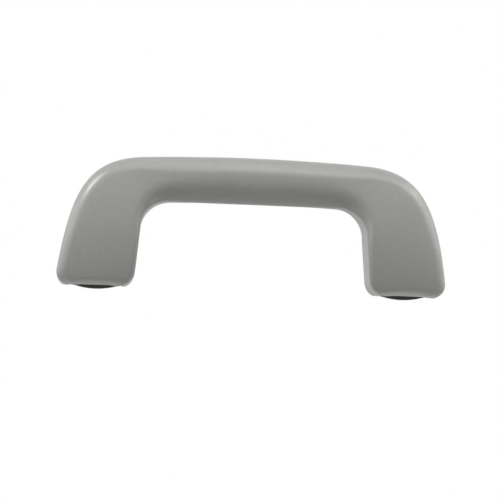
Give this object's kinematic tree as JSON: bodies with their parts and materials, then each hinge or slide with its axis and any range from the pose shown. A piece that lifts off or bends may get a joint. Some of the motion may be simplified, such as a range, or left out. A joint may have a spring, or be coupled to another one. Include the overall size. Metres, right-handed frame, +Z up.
{
  "type": "roof grab handle",
  "caption": "U-shaped folding grab handle for a vehicle roof: a grey moulded grip that swings down on two black hinge brackets and springs back.",
  "frame": {"origin": "on the mounting plane, midway between the two fixing screws", "axes": "+X along the bar, +Y into the roof rail, +Z up with the grip folded flat and its feet down"},
  "size_m": [0.2288, 0.0437, 0.0797],
  "materials": {
    "grey_trim_plastic": "fine-grained satin moulding",
    "grey_cap_plastic": "satin moulding",
    "black_nylon": "glass-filled, satin",
    "white_acetal": "natural",
    "bright_steel": "ground",
    "spring_steel": "drawn wire",
    "zinc_plated_steel": "zinc plated",
    "black_rubber": "moulded"
  },
  "bodies": {
    "brackets": {"hinge_bracket_left": "black_nylon", "hinge_bracket_right": "black_nylon", "fixing_screw_left": "zinc_plated_steel", "fixing_screw_right": "zinc_plated_steel", "screw_cap_left": "grey_cap_plastic", "screw_cap_right": "grey_cap_plastic", "ear_bush_left_inner": "white_acetal", "ear_bush_left_outer": "white_acetal", "ear_bush_right_inner": "white_acetal", "ear_bush_right_outer": "white_acetal", "return_spring": "spring_steel", "damper_barrel": "black_nylon", "damper_lid": "black_nylon"},
    "grip": {"grip": "grey_trim_plastic", "pivot_pin_left": "bright_steel", "pivot_pin_right": "bright_steel", "spring_spool": "white_acetal", "damper_rotor": "white_acetal", "buffer_left": "black_rubber", "buffer_right": "black_rubber"}
  },
  "joints": [
    {"name": "grip_fold", "type": "hinge", "parent": "brackets", "child": "grip", "pos_m": [0, -0.012, -0.018], "axis": [1, 0, 0], "range_deg": [0, 90], "stiffness_Nm_per_rad": 0.12, "springref_deg": -28.65, "deforming": ["return_spring"]}
  ]
}
